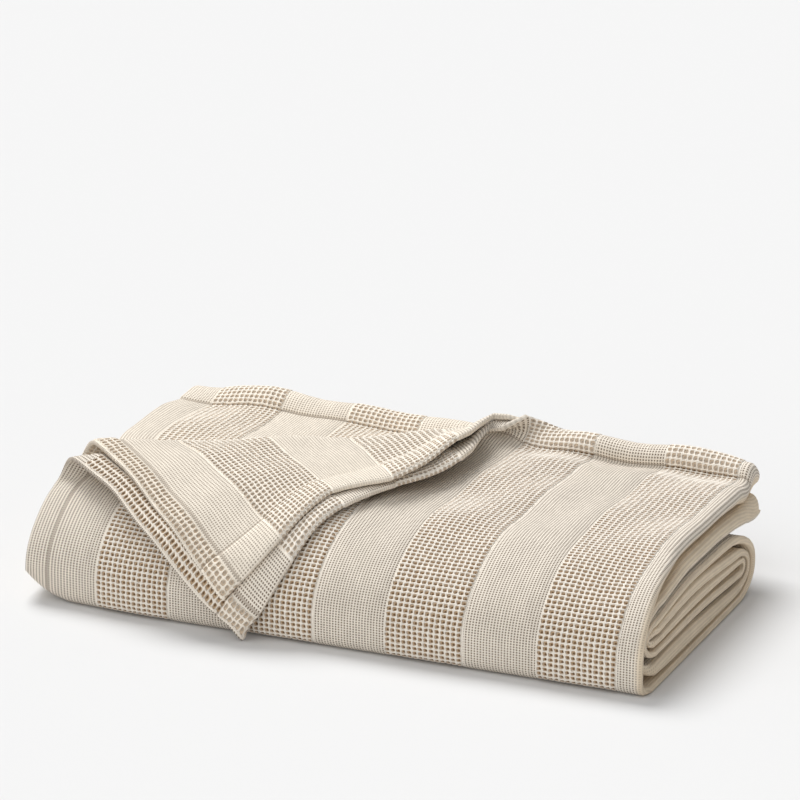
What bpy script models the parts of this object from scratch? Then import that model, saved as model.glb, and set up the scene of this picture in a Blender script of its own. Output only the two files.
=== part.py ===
"""Waffle weave cotton blanket, folded, with one back corner turned over to the front.

The blanket is one cloth. Folded in four across its width it makes a band of four plies, and the
band is then folded and rolled up, so a cut from front to back passes eight runs of it. The solid
has each run as one slab of four plies, a little apart from the next. The two upper plies of the
top run are turned over at the back left corner, and each of those is a slab of its own thickness.
"""
import math

import bmesh
import bpy
import numpy as np

MM = 0.001
CELL = 4.75            # pitch of the open weave, the step the whole blanket is measured in (mm)
WIDTH = 120.0          # across the folded blanket, in steps
DEPTH = 71.0           # front face to the back hem, in steps
PLY = 0.56             # one pressed ply, in steps
X_MIDDLE = -55.76      # middle of the width in the tables below, which count from a stripe edge
Y_MIDDLE = 34.35       # middle of the depth in the tables below
SHOULDER = 9.0         # the top run's own rows end here, on the way down to the front face
FLAT_TOL = 0.03        # lower than this the cloth lies flat on the table, in steps

# Runs of the band, top to bottom. Front, middle and back of each run: depth, height of its middle
# and thickness, then where its two side folds end. All in steps.
RUN_COLUMNS = ("yf", "zf", "tf", "ym", "zm", "tm", "yb", "zb", "tb", "left", "right")
RUNS = {
    "top":      (24.0, 18.50, 2.90, 42.0, 18.70, 2.80, DEPTH, 19.00, 2.60, -114.6, 2.4),
    "second":   (14.0, 12.90, 2.30, 27.0, 15.15, 3.00, 66.5, 15.30, 3.30, -114.2, 3.2),
    "roll_1":   (9.0, 11.30, 1.30, 28.0, 12.80, 1.30, 46.0, 12.55, 1.50, -114.4, 4.0),
    "roll_2":   (9.5, 10.15, 1.80, 27.0, 10.85, 2.20, 50.0, 9.35, 2.00, -114.0, 4.2),
    "roll_3":   (9.5, 7.55, 1.90, 29.0, 8.25, 2.10, 50.0, 7.30, 1.50, -114.3, 4.1),
    "roll_4":   (7.0, 5.80, 1.10, 28.0, 6.05, 1.55, 50.0, 4.85, 1.70, -114.6, 4.3),
    "inner":    (7.0, 3.15, 2.50, 20.0, 3.15, 3.10, 50.0, 2.55, 1.80, -114.2, 4.6),
    "bottom":   (2.7, 0.60, 1.20, 26.0, 0.65, 1.30, 50.0, 0.70, 1.40, -114.8, 5.0),
}
# Turns between the runs, in the order the band takes them: the run it leaves, the run it enters,
# how far the turn reaches in depth, the heights between which it is upright, its thickness there,
# and its side fold ends.
TURN_COLUMNS = ("leave", "enter", "y", "high", "low", "t", "left", "right")
TURNS = (
    ("top", "bottom", 0.75, 5.6, 2.3, 1.50, -113.8, 4.2),
    ("bottom", "roll_1", 58.6, 6.1, 5.4, 1.50, -114.2, 4.8),
    ("roll_1", "roll_4", 3.90, 8.6, 8.2, 1.10, -113.9, 3.6),
    ("roll_4", "roll_3", 54.9, 6.0, 5.8, 1.25, -114.0, 4.2),
    ("roll_3", "roll_2", 5.70, 9.0, 8.8, 1.40, -113.7, 3.4),
    ("roll_2", "inner", 56.9, 5.7, 5.1, 0.95, -114.0, 4.4),
    ("inner", "second", 2.35, 7.4, 6.2, 1.20, -113.6, 3.3),
)
# Stations across the width: how far along it, and how full the slab is there (the side folds of
# the band are round, so they thin towards both ends).
STATIONS = ((0.000, 0.16), (0.0011, 0.42), (0.0042, 0.74), (0.0095, 0.95), (0.0170, 1.0),
            (0.10, 1.0), (0.20, 1.0), (0.32, 1.0), (0.44, 1.0), (0.54, 1.0), (0.62, 1.0),
            (0.680, 1.0), (0.77, 1.0), (0.88, 1.0), (0.9830, 1.0),
            (0.9905, 0.95), (0.9958, 0.74), (0.9989, 0.42), (1.000, 0.16))

# Line on which the two upper plies turn over: across, depth, the radius of the outer and the inner
# ply's roll there, and how much nearer the front the inner ply turns.
FOLD_COLUMNS = ("x", "y", "outer", "inner", "nearer")
FOLD = ((-118.0, 14.6, 3.05, 1.40, 4.6), (-113.4, 17.0, 3.05, 1.45, 4.2),
        (-104.0, 22.6, 2.85, 1.60, 2.0), (-93.0, 29.2, 2.70, 1.70, 0.4),
        (-77.0, 38.6, 2.50, 1.60, 0.0), (-57.6, 51.6, 2.40, 1.55, 0.0),
        (-50.5, 57.5, 2.90, 1.80, 0.3), (-45.0, 62.0, 3.15, 1.90, 0.5),
        (-40.0, 66.0, 3.00, 1.80, 0.4), (-35.5, 68.3, 3.00, 1.80, 0.3),
        (-29.0, 70.6, 3.00, 1.80, 0.3))
# Where the hem of each turned ply comes to lie: distance along the hem from the corner, across,
# distance along the skin, and height over it.
HEM_COLUMNS = ("along", "x", "v", "up")
OUTER_HEM = ((0.0, -74.6, -5.7, 2.2), (6.8, -69.4, -1.1, 2.3), (13.1, -65.8, 4.1, 2.5),
             (20.8, -64.3, 11.6, 2.7), (27.0, -61.9, 17.3, 2.9), (32.0, -58.5, 21.0, 3.0),
             (36.6, -55.0, 24.0, 3.2), (42.2, -52.8, 29.1, 3.5), (50.0, -49.9, 36.4, 4.0),
             (64.7, -49.3, 51.1, 5.0), (72.0, -45.0, 57.5, 5.4))
INNER_HEM = ((0.0, -70.2, -11.6, 1.0), (2.8, -67.9, -9.6, 1.0), (11.0, -63.8, -2.4, 1.1),
             (19.0, -62.0, 5.9, 1.1), (26.0, -61.0, 13.4, 1.2), (30.5, -58.8, 17.3, 1.4),
             (34.0, -56.6, 20.3, 1.6), (41.0, -50.6, 24.0, 1.8), (46.5, -47.9, 28.9, 2.1),
             (54.0, -46.3, 36.7, 2.5), (64.0, -46.6, 47.5, 3.1), (72.0, -44.6, 56.0, 3.3))
EDGE_X = -113.4        # free side edge of the two turned plies
HEM_V = DEPTH          # their back hem
TUCK = 3.5             # length of a turned ply kept inside the top run
TURNED = {"outer": (OUTER_HEM, -1.06), "inner": (INNER_HEM, -0.28)}   # hem table, depth under skin
CORNER = 4.0           # the two upper runs are pulled in this much at their back right corner
BOWED = 1.6            # the front face falls back this much at its left end
LEDGE = 1.50           # drop of the top run behind the line, where two of its four plies are gone


def smooth(xs, ys, x):
    """Shape-keeping cubic through a few table points."""
    xs, ys, x = np.asarray(xs, float), np.asarray(ys, float), np.asarray(x, float)
    step = np.diff(xs)
    rise = np.diff(ys) / step
    slope = np.empty(len(xs))
    slope[0], slope[-1] = rise[0], rise[-1]
    for i in range(1, len(xs) - 1):
        a, b = rise[i - 1], rise[i]
        slope[i] = 0.0 if a * b <= 0 else 2.0 * a * b / (a + b)
    x = np.clip(x, xs[0], xs[-1])
    i = np.clip(np.searchsorted(xs, x, side="right") - 1, 0, len(xs) - 2)
    t = (x - xs[i]) / step[i]
    return ((2 * t ** 3 - 3 * t ** 2 + 1) * ys[i] + (t ** 3 - 2 * t ** 2 + t) * step[i] * slope[i]
            + (-2 * t ** 3 + 3 * t ** 2) * ys[i + 1] + (t ** 3 - t ** 2) * step[i] * slope[i + 1])


def ramp(x, a, b):
    t = np.clip((np.asarray(x, float) - a) / (b - a), 0.0, 1.0)
    return t * t * (3 - 2 * t)


def swell(x, y):
    """Unevenness of the whole pile: a little fuller at the back left, softer in the middle."""
    s = (x - X_MIDDLE) / (WIDTH / 2)
    back = float(ramp(y, 24, 66))
    return back * (0.045 * float(ramp(-s, 0.0, 0.5)) + 0.030 * math.exp(-((x + 97) / 11) ** 2)
                   + 0.008 * math.sin(5.0 * s + 0.6))


def run_row(name):
    return dict(zip(RUN_COLUMNS, RUNS[name]))


def run_points(name, depths):
    r = run_row(name)
    ys = (r["yf"], r["ym"], r["yb"])
    return [(y, float(smooth(ys, (r["zf"], r["zm"], r["zb"]), y)),
             float(smooth(ys, (r["tf"], r["tm"], r["tb"]), y)), r["left"], r["right"])
            for y in depths]


def turn_points(turn, count):
    """Points of one turn, from the end of a run round to the start of the next."""
    t = dict(zip(TURN_COLUMNS, turn))
    a, b = run_row(t["leave"]), run_row(t["enter"])
    end = "f" if t["y"] < 20 else "b"
    first = (a["y" + end], a["z" + end], a["t" + end], a["left"], a["right"])
    last = (b["y" + end], b["z" + end], b["t" + end], b["left"], b["right"])
    points = []
    for outer, back in ((first, False), (last, True)):
        steps = range(1, count + 1) if not back else range(count, 0, -1)
        height = t["high"] if outer[1] > (t["high"] + t["low"]) / 2 else t["low"]
        tip = (t["y"], height, t["t"], t["left"], t["right"])
        for i in steps:
            turn_angle = math.pi / 2 * i / count
            out, up = math.sin(turn_angle), 1 - math.cos(turn_angle)
            points.append((outer[0] + (tip[0] - outer[0]) * out, outer[1] + (tip[1] - outer[1]) * up)
                          + tuple(outer[k] + (tip[k] - outer[k]) * out for k in (2, 3, 4)))
    return points


def fold_at(x, column):
    return float(smooth([r[0] for r in FOLD], [r[FOLD_COLUMNS.index(column)] for r in FOLD], x))


def turn_depth(x, ply):
    return fold_at(x, "y") - (fold_at(x, "nearer") if ply == "inner" else 0.0)


def top_line(y):
    """Middle line of the top run at a depth; short of its front end it is on the shoulder."""
    r = run_row("top")
    if y >= r["yf"]:
        return run_points("top", (y,))[0]
    t = dict(zip(TURN_COLUMNS, TURNS[0]))
    out = (r["yf"] - y) / (r["yf"] - t["y"])
    up = 1 - math.sqrt(max(0.0, 1 - out * out))
    return (y, r["zf"] + (t["high"] - r["zf"]) * up, r["tf"] + (t["t"] - r["tf"]) * out,
            r["left"] + (t["left"] - r["left"]) * out, r["right"] + (t["right"] - r["right"]) * out)


def section(x):
    """Middle line of the band at one station: depth, height, thickness and its side fold ends."""
    line = min(max(fold_at(x, "y"), 16.0), 67.0)
    gone = float(1 - ramp(x, -38, -29))
    behind, ahead = line + 1.4, line - 1.2
    depths = [behind + (DEPTH - behind) * s for s in (1.0, 0.68, 0.36, 0.12, 0.0)]
    depths += [line + 0.5, line, ahead]
    depths += [SHOULDER + (ahead - SHOULDER) * s for s in (0.62, 0.38, 0.22, 0.10, 0.0)]
    points = []
    for depth in depths:
        y, z, t, left, right = top_line(depth)
        drop = 0.0
        if y > line + 0.2:
            drop = LEDGE * gone * (1 - 0.72 * (y - line) / (DEPTH - line))
        points.append((y, z - drop / 2, t - drop, left, right))
    order = ((6, "bottom", (2.7, 14, 34, 50)), (4, "roll_1", (46, 37, 28, 18, 9)),
             (3, "roll_4", (7, 17, 28, 39, 50)), (3, "roll_3", (50, 40, 29, 19, 9.5)),
             (3, "roll_2", (9.5, 18, 27, 39, 50)), (4, "inner", (50, 36, 20, 13, 7)),
             (4, "second", (14, 20, 27, 40, 53, 66.5)))
    for turn, (count, name, ys) in zip(TURNS, order):
        round_it = turn_points(turn, count)
        if name == "bottom":
            round_it = [p for p in round_it if p[0] < SHOULDER - 1.0 or p[1] < 5]
        points += round_it
        points += run_points(name, ys)
    rows = []
    for i, (y, z, t, left, right) in enumerate(points):
        grow = 1 + swell(x, y)
        if i < len(depths):
            left -= 2.0 * math.sin(math.pi * min(max((DEPTH - y) / 42, 0), 1))
        if z > 13:
            y -= CORNER * float(ramp(x, -14, 3) * ramp(y, 48, DEPTH))
        y += BOWED * float(ramp(-x, 90, 116) * (1 - ramp(y, 2, 16)))
        rows.append((y, z * grow, t * grow if z > 2 else t, left, right))
    return rows


def skin_table():
    """Outer side of the top run and the front face, from the table up and back to the hem."""
    top = run_points("top", [DEPTH, 60, 50, 42, 36, 30, 24])
    pts = top + turn_points(TURNS[0], 14)
    line = np.array([(p[0], p[1]) for p in pts])
    thick = np.array([p[2] for p in pts])
    run = np.gradient(line, axis=0)
    run /= np.linalg.norm(run, axis=1)[:, None]
    out = np.stack((run[:, 1], -run[:, 0]), axis=1)
    skin = (line + out * thick[:, None] / 2)[::-1]
    skin = skin[skin[:, 1] > 0.02]
    far = np.r_[0, np.cumsum(np.linalg.norm(np.diff(skin, axis=0), axis=1))]
    far += 42.0 - np.interp(42.0, skin[6:, 0], far[6:])
    return far, skin


SKIN_V, SKIN = skin_table()


def on_skin(x, v, up):
    """Point a height over the skin, at a distance along it."""
    v = float(v)
    y = np.interp(v, SKIN_V, SKIN[:, 0])
    z = np.interp(v, SKIN_V, SKIN[:, 1])
    a, b = v - 0.8, v + 0.8
    dy = np.interp(b, SKIN_V, SKIN[:, 0]) - np.interp(a, SKIN_V, SKIN[:, 0])
    dz = np.interp(b, SKIN_V, SKIN[:, 1]) - np.interp(a, SKIN_V, SKIN[:, 1])
    size = math.hypot(dy, dz)
    if v < SKIN_V[0]:
        z += v - SKIN_V[0]
    return np.array((x, y - dz / size * up, z * (1 + swell(x, y)) + dy / size * up))


def turned_point(x, far, ply):
    """Where a turned ply's cloth lies: across, and distance past the fold line."""
    table, sunk = TURNED[ply]
    hem = np.array(table)
    y = turn_depth(x, ply)
    radius = fold_at(x, ply)
    if far <= 0:
        return on_skin(x, y + far, sunk)
    total = HEM_V - y
    along = x - EDGE_X
    end = np.array([float(smooth(hem[:, 0], hem[:, k], along)) for k in (1, 2, 3)])
    slope = math.atan2(turn_depth(x + 1, ply) - turn_depth(x - 1, ply), 2.0)
    for _ in range(4):
        used = math.pi * radius / math.cos(slope)
        start = np.array((x, y)) + used * math.sin(slope) * np.array((math.cos(slope), math.sin(slope)))
        reach = end[:2] - start
        if total - used > 1.5:
            heading = math.degrees(math.atan2(reach[1], reach[0]))
            slope = math.radians(min(max((90 + heading) / 2, 12), 52))
    over = np.array((-math.sin(slope), math.cos(slope)))
    side = np.array((math.cos(slope), math.sin(slope)))
    if far <= used:
        angle = far * math.cos(slope) / radius
        plan = np.array((x, y)) + over * radius * math.sin(angle) + side * far * math.sin(slope)
        return on_skin(plan[0], plan[1], sunk + radius * (1 - math.cos(angle)))
    part = (far - used) / max(total - used, 1e-6)
    top = sunk + 2 * radius
    fade = min(1.0, (total - used) / 5.0)
    goal = (side * math.sin(slope) - over * math.cos(slope)) * (total - used)
    plan = start + part * (fade * reach + (1 - fade) * goal)
    up = top + (fade * end[2] + (1 - fade) * top - top) * float(ramp(part, 0.0, 1.0))
    return on_skin(plan[0], plan[1], up)


def to_metres(p):
    return ((p[0] - X_MIDDLE) * CELL * MM, (p[1] - Y_MIDDLE) * CELL * MM, p[2] * CELL * MM)


def loft(name, grid, thick, collection):
    """Sheet through a grid of points, given its own thickness at every one of them."""
    rows, columns = len(grid), len(grid[0])
    bm = bmesh.new()
    verts = [[bm.verts.new(to_metres(p)) for p in row] for row in grid]
    for i in range(rows - 1):
        for j in range(columns - 1):
            bm.faces.new((verts[i][j], verts[i + 1][j], verts[i + 1][j + 1], verts[i][j + 1]))
    bmesh.ops.recalc_face_normals(bm, faces=bm.faces)
    mesh = bpy.data.meshes.new(name)
    bm.to_mesh(mesh)
    bm.free()
    obj = bpy.data.objects.new(name, mesh)
    collection.objects.link(obj)
    group = obj.vertex_groups.new(name="thickness")
    most = max(max(row) for row in thick)
    index = 0
    for row in thick:
        for value in row:
            group.add([index], value / most, "REPLACE")
            index += 1
    shell = obj.modifiers.new("shell", "SOLIDIFY")
    shell.thickness = most * CELL * MM
    shell.offset = 0.0
    shell.vertex_group = group.name
    shell.thickness_vertex_group = 0.0
    shell.use_even_offset = False
    shell.use_quality_normals = True
    return obj


def band(collection):
    grid, thick = [], []
    for share, full in STATIONS:
        x = X_MIDDLE + WIDTH * (share - 0.5)
        rows = section(x)
        grid.append([(left + (right - left) * share, y, z) for y, z, t, left, right in rows])
        thick.append([t * full for y, z, t, left, right in rows])
    return loft("blanket", grid, thick, collection)


def turned_ply(ply, collection):
    grid, thick = [], []
    columns = (EDGE_X, -112.6, -109, -104, -97, -90, -83, -76, -69, -62, -56, -51, -46.5, -42.5,
               -38.5, -35.0 if ply == "outer" else -36.5)
    shares = (0, 0.4, 0.72, 1.0)
    for x in columns:
        slope = math.atan2(turn_depth(x + 1, ply) - turn_depth(x - 1, ply), 2.0)
        total = HEM_V - turn_depth(x, ply)
        round_the_roll = min(math.pi * fold_at(x, ply) / math.cos(slope), 0.8 * total)
        stops = [-TUCK, 0.0] + [round_the_roll * k / 6 for k in range(1, 7)]
        stops += [round_the_roll + (total - round_the_roll) * s for s in shares[1:]]
        stops += [round_the_roll + (total - round_the_roll) * s for s in (0.2, 0.86)]
        stops.sort()
        grid.append([turned_point(x, s, ply) for s in stops])
        thick.append([PLY] * len(stops))
    return loft("turned_" + ply, grid, thick, collection)


def apply_modifiers(obj):
    graph = bpy.context.evaluated_depsgraph_get()
    mesh = bpy.data.meshes.new_from_object(obj.evaluated_get(graph))
    obj.modifiers.clear()
    obj.data = mesh


def join(body, other):
    """Union of a turned ply with the band it is part of."""
    cut = body.modifiers.new("union", "BOOLEAN")
    cut.operation = "UNION"
    cut.solver = "EXACT"
    cut.object = other
    apply_modifiers(body)


def settle(obj):
    """The lowest cloth lies flat on the table."""
    bm = bmesh.new()
    bm.from_mesh(obj.data)
    for v in bm.verts:
        if v.co.z < FLAT_TOL * CELL * MM:
            v.co.z = 0.0
    bmesh.ops.remove_doubles(bm, verts=bm.verts, dist=0.00001)
    bmesh.ops.triangulate(bm, faces=bm.faces)
    bm.to_mesh(obj.data)
    bm.free()
    for face in obj.data.polygons:
        face.use_smooth = True


def cotton():
    mat = bpy.data.materials.new("cotton_weave")
    mat.use_nodes = True
    shader = mat.node_tree.nodes["Principled BSDF"]
    shader.inputs["Base Color"].default_value = (0.66, 0.58, 0.47, 1.0)
    shader.inputs["Roughness"].default_value = 0.9
    return mat


def main():
    for obj in list(bpy.data.objects):
        bpy.data.objects.remove(obj)
    parts = bpy.data.collections.new("waffle_weave_blanket")
    tools = bpy.data.collections.new("cutters")
    bpy.context.scene.collection.children.link(parts)
    bpy.context.scene.collection.children.link(tools)
    blanket = band(parts)
    plies = [turned_ply(name, tools) for name in TURNED]
    apply_modifiers(blanket)
    for ply in plies:
        ply.hide_render = True
        ply.display_type = "WIRE"
        apply_modifiers(ply)
        join(blanket, ply)
    for ply in plies:
        bpy.data.objects.remove(ply)
    settle(blanket)
    blanket.data.materials.clear()
    blanket.data.materials.append(cotton())


main()
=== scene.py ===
import math

import bmesh
import bpy
import numpy as np
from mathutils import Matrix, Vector


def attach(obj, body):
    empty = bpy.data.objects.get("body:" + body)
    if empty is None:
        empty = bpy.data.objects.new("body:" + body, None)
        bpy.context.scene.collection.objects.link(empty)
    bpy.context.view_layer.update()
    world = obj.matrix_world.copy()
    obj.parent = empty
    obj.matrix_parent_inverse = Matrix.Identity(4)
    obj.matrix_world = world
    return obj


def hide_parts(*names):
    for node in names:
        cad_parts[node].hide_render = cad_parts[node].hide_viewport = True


bl_info = {
    "name": "Folded waffle weave blanket",
    "version": (1, 0, 0),
    "blender": (4, 5, 0),
    "location": "View3D > Sidebar > Blanket",
    "description": "Folds one striped cotton cloth into a pile, raises its open weave and sews its hems",
    "category": "Object",
}

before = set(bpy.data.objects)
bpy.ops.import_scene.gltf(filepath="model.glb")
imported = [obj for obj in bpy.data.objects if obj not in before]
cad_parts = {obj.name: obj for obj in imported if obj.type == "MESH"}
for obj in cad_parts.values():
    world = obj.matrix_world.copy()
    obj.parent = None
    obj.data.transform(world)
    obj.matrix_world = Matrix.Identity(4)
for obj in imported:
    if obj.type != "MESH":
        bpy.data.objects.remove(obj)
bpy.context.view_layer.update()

# The cloth is measured in steps of 4.75 mm, about one hole of the open weave. x runs across the
# pile from a stripe edge on the front, and y from its front to its back. v runs along the skin of
# the folded cloth: it is the same as y at LEVEL_Y on the top run, falls towards the front and goes
# on falling through all the runs, and the upper hem is at v = DEPTH. u and s run across the flat
# cloth, s from its nearer side edge.
CELL = 0.00475
X_MIDDLE, Y_MIDDLE = -55.76, 34.35  # middle of the pile, the origin of the frame
DEPTH = 71.0
LEVEL_Y = 42.0
HALF_WAY = 20.0  # y between the turns in front and those behind
HEM_BAND = 6.2  # depth of the back hem
SEAM = DEPTH - HEM_BAND
SIDE_BAND = 4.15  # width of the side hem
EDGE_X = -113.4  # free side edges of the two upper plies
SKIN_END = -12.55  # v where the front's skin has turned under
HOLE_U, HOLE_V = 1.035, 0.935  # pitch of the open weave across and along
PLAIN_U, PLAIN_V = 0.5588, 0.465  # pitch of the plain weave
OPEN, PERIOD, FIRST = 15.0, 28.41, 13.16  # open stripe, stripe repeat, edge to the first stripe
C_EDGE = 119.0  # x + s on the third ply
OPEN_COLUMNS, OPEN_BORDER = 14, 0.255  # columns of holes in a stripe, and its border
SIDE_COLUMNS, SIDE_START = 3, 0.42  # columns of holes in the side hem, and their first s
SIDE_FROM = 24.0  # v past which the side hem has holes
FIRST_HOLES = DEPTH - 0.25  # v where the first row of holes starts
FRONT_FROM = -11.6  # v of the lowest holes that are raised on the front
UNDER_FROM = SEAM - 2.2  # v past which they are raised on the inside of the turned corner
BEHIND = (-86.0, -63.0)  # v between which they are raised on the back of the pile
SQUARE = 0.55  # how square the holes are, from 0 for round to 1
END_FROM, END_TO = 116.0, 128.0  # s of the round right end of the pile
UV_STEPS = 500.0  # one UV unit
UV_SHIFT = 440.0  # v + UV_SHIFT is never below zero
# Painted shade of the weave in the material: how dark the painted shade is in its rib grooves,
# pinholes and seam lines, and how far the painted shade in the holes fades to the thread's colour,
# as painted light, where the cloth is turned over or hemmed.
GROOVE_SHADE, PIN_SHADE, SEAM_SHADE, HOLE_SHADE_FADE = 0.02, 0.92, 0.5, 0.34

# Runs of the band: y, z and thickness at the front, middle and back, the ends of the pile at its
# left and right, and how round the right end is.
RUN_COLUMNS = ("yf", "zf", "tf", "ym", "zm", "tm", "yb", "zb", "tb", "left", "right", "round")
RUNS = {
    "top":      (24.0, 18.50, 2.90, 42.0, 18.70, 2.80, DEPTH, 19.00, 2.60, -114.6, 2.4, 1.0),
    "second":   (14.0, 13.20, 2.20, 27.0, 15.15, 3.00, 66.5, 15.30, 3.30, -114.2, 3.2, 0.8),
    "roll_1":   (9.0, 10.95, 1.10, 28.0, 12.80, 1.30, 46.0, 12.55, 1.50, -114.4, 4.0, 0.4),
    "roll_2":   (7.3, 9.45, 1.35, 27.0, 10.85, 2.20, 50.0, 9.35, 2.00, -114.0, 4.2, 0.4),
    "roll_3":   (7.3, 7.50, 1.35, 29.0, 8.25, 2.10, 53.0, 7.30, 1.30, -114.3, 4.1, 0.4),
    "roll_4":   (7.0, 5.80, 1.10, 28.0, 6.05, 1.55, 53.0, 4.85, 1.30, -114.6, 4.3, 0.4),
    "inner":    (7.0, 3.15, 2.50, 20.0, 3.15, 3.10, 50.0, 2.55, 1.80, -114.2, 4.6, 0.4),
    "bottom":   (2.7, 0.60, 1.20, 26.0, 0.65, 1.30, 50.0, 0.70, 1.40, -114.8, 5.0, 0.8),
}
# Turns of the band: the runs they join, y, heights and thickness at their tip, the pile's ends.
TURN_COLUMNS = ("leave", "enter", "y", "high", "low", "t", "left", "right")
TURNS = (
    ("top", "bottom", 0.75, 5.6, 2.3, 1.50, -113.8, 4.2),
    ("bottom", "roll_1", 58.6, 6.1, 5.4, 1.50, -114.2, 4.8),
    ("roll_1", "roll_4", 3.90, 8.6, 8.2, 1.10, -113.9, 3.6),
    ("roll_4", "roll_3", 54.9, 6.2, 5.9, 1.00, -114.0, 4.2),
    ("roll_3", "roll_2", 5.70, 8.7, 8.3, 1.10, -113.7, 3.4),
    ("roll_2", "inner", 56.9, 5.7, 5.1, 0.95, -114.0, 4.4),
    ("inner", "second", 2.35, 7.4, 6.2, 1.20, -113.6, 3.3),
)
# Fold line of the turned corner, the roll radius of the outer and the inner ply, and how much
# nearer the front the inner ply turns.
FOLD_COLUMNS = ("x", "y", "outer", "inner", "nearer")
FOLD = ((-118.0, 14.6, 3.22, 2.34, 4.6), (-113.4, 17.0, 3.22, 2.34, 4.2),
        (-104.0, 22.6, 2.88, 1.98, 2.0), (-93.0, 29.2, 2.70, 1.70, 0.4),
        (-77.0, 38.6, 2.50, 1.60, 0.0), (-57.6, 51.6, 2.40, 1.55, 0.0),
        (-50.5, 56.5, 2.90, 1.80, 0.3), (-44.0, 60.0, 3.10, 1.90, 0.5))
# Hems of the turned plies: s along them, and the x, v and height over the skin where they lie.
HEM_COLUMNS = ("s", "x", "v", "up")
OUTER_HEM = ((0.0, -73.0, -5.2, 2.6), (6.6, -68.6, -0.4, 2.5), (13.2, -65.3, 5.5, 2.5),
             (20.7, -63.1, 11.8, 2.7), (28.2, -61.2, 19.0, 2.9), (34.9, -57.2, 22.5, 3.2),
             (41.6, -52.7, 25.3, 3.8), (49.0, -49.4, 33.0, 5.0), (56.6, -47.9, 44.8, 6.2),
             (63.3, -45.9, 54.5, 6.0), (70.0, -43.0, 61.8, 5.4))
INNER_HEM = ((0.0, -69.4, -10.8, 2.4), (6.6, -65.0, -4.3, 1.2), (13.2, -62.3, 2.5, 1.1),
             (20.7, -60.5, 10.4, 1.2), (28.2, -58.2, 17.0, 1.4), (34.9, -55.5, 22.1, 1.7),
             (41.6, -52.5, 26.5, 2.1), (49.0, -48.6, 32.4, 2.8), (56.6, -45.9, 41.1, 3.6),
             (63.3, -45.0, 52.9, 4.2), (70.0, -42.8, 61.3, 4.6))
# The stacked back hems of each ply: rise before the seam, tilt after it, how long the tilt holds,
# tilt of the free edge, and the length in which it gets there. Tilts are in degrees.
STANDING_COLUMNS = ("x", "rise", "tilt", "hold", "end", "curl")
STANDING = {
    "A": ((-54.0, 2.0, 40, 0.0, 200, 3.8), (-47.0, 0.9, 32, 0.0, 190, 3.3),
          (-43.0, -0.3, 12, 0.8, 100, 5.0), (-38.5, -0.9, 40, 0.5, 10, 4.5),
          (-28.4, -1.1, 80, 0.6, -35, 4.6),
          (-15.0, -1.0, 78, 0.7, -40, 4.8), (3.0, -0.9, 55, 0.5, -38, 4.8)),
    "B": ((-54.0, 1.9, 42, 0.5, 185, 4.8), (-47.0, 0.8, 36, 0.5, 170, 5.2),
          (-43.0, -0.4, 14, 1.0, 80, 5.0), (-38.5, -0.9, 32, 0.6, 0, 4.6),
          (-28.4, -1.0, 54, 0.7, -32, 4.8),
          (-15.0, -0.9, 50, 0.8, -40, 4.8), (3.0, -0.85, 40, 0.6, -36, 4.8)),
    "C": ((-118.0, 0.0, 4, 2.5, 0, 3.6), (-110.0, 0.0, 12, 2.5, -8, 3.6),
          (-103.0, 0.0, 30, 2.5, -20, 3.6), (-62.0, 0.0, 30, 2.5, -20, 3.6),
          (-40.0, -0.6, 24, 2.5, -15, 3.6), (3.0, -0.9, 24, 2.5, -15, 3.6)),
    "D": ((-118.0, 0.0, 2, 3.0, 0, 3.0), (-104.0, 0.0, 10, 3.0, -5, 3.0),
          (-55.0, 0.0, 10, 3.0, -5, 3.0), (-35.0, -0.9, 10, 3.0, -5, 3.0),
          (3.0, -0.9, 10, 3.0, -5, 3.0)),
}
STAND_FROM = 54.0  # v past which the stacked hems leave the pile
TURNED_BY, STANDS_FROM = -54.0, -47.0  # x: the corner is turned over, the hem stands
# The middle of each ply as a share of the band's thickness, with the skin at 1 / 2.
PLY_AT = {"A": 3 / 8, "B": 1 / 8, "C": -1 / 8, "D": -3 / 8}


class BlanketSizes(bpy.types.PropertyGroup):
    ply_gap: bpy.props.FloatProperty(
        name="Ply fullness", description="Cloth thickness as a share of the room each ply has",
        default=0.90, min=0.3, max=0.95)
    field_thickness: bpy.props.FloatProperty(
        name="Cloth thickness", description="Thickest the single cloth gets, away from its hems",
        default=0.0030, unit="LENGTH")
    hem_thickness: bpy.props.FloatProperty(
        name="Hem thickness", description="Thickness of the stitched back hem",
        default=0.0066, unit="LENGTH")
    thread_height: bpy.props.FloatProperty(
        name="Thread height", description="How far the open weave's threads stand over its holes",
        default=0.0015, unit="LENGTH")
    recess: bpy.props.FloatProperty(
        name="Stripe recess", description="How much thinner the cloth is under the open weave, each side",
        default=0.00075, unit="LENGTH")
    hole_share: bpy.props.FloatProperty(
        name="Hole width", description="Width of a hole as a share of the weave's pitch",
        default=0.71, min=0.2, max=0.86)
    slant: bpy.props.FloatProperty(
        name="Hole slant", description="How far each hole is turned, which slants the threads",
        default=math.radians(15), subtype="ANGLE")
    wander: bpy.props.FloatProperty(
        name="Thread wander", description="How far the threads stray from straight lines",
        default=0.0010, unit="LENGTH")


COLOUR = {"subtype": "COLOR", "size": 3, "min": 0.0, "max": 1.0}


class BlanketColours(bpy.types.PropertyGroup):
    thread: bpy.props.FloatVectorProperty(
        name="Thread", description="Undyed cotton thread",
        default=(0.860, 0.785, 0.680), **COLOUR)
    # painted shade seen through the plain weave's pinholes
    gap: bpy.props.FloatVectorProperty(
        name="Fine gaps", description="Pinholes of the plain weave",
        default=(0.15, 0.09, 0.045), **COLOUR)
    # hole and deep are painted shade in the open weave's holes: warm tan on their sides, darker in their
    # pits
    hole: bpy.props.FloatVectorProperty(
        name="Hole sides", description="Thread in the sides of the holes",
        default=(0.57, 0.41, 0.26), **COLOUR)
    deep: bpy.props.FloatVectorProperty(
        name="Hole depths", description="Shaded bottom of the holes",
        default=(0.15, 0.09, 0.045), **COLOUR)
    floor: bpy.props.FloatVectorProperty(
        name="Floor", description="Pale floor under the blanket",
        default=(0.765, 0.765, 0.765), **COLOUR)


# -------- shape of the folded cloth

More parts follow.
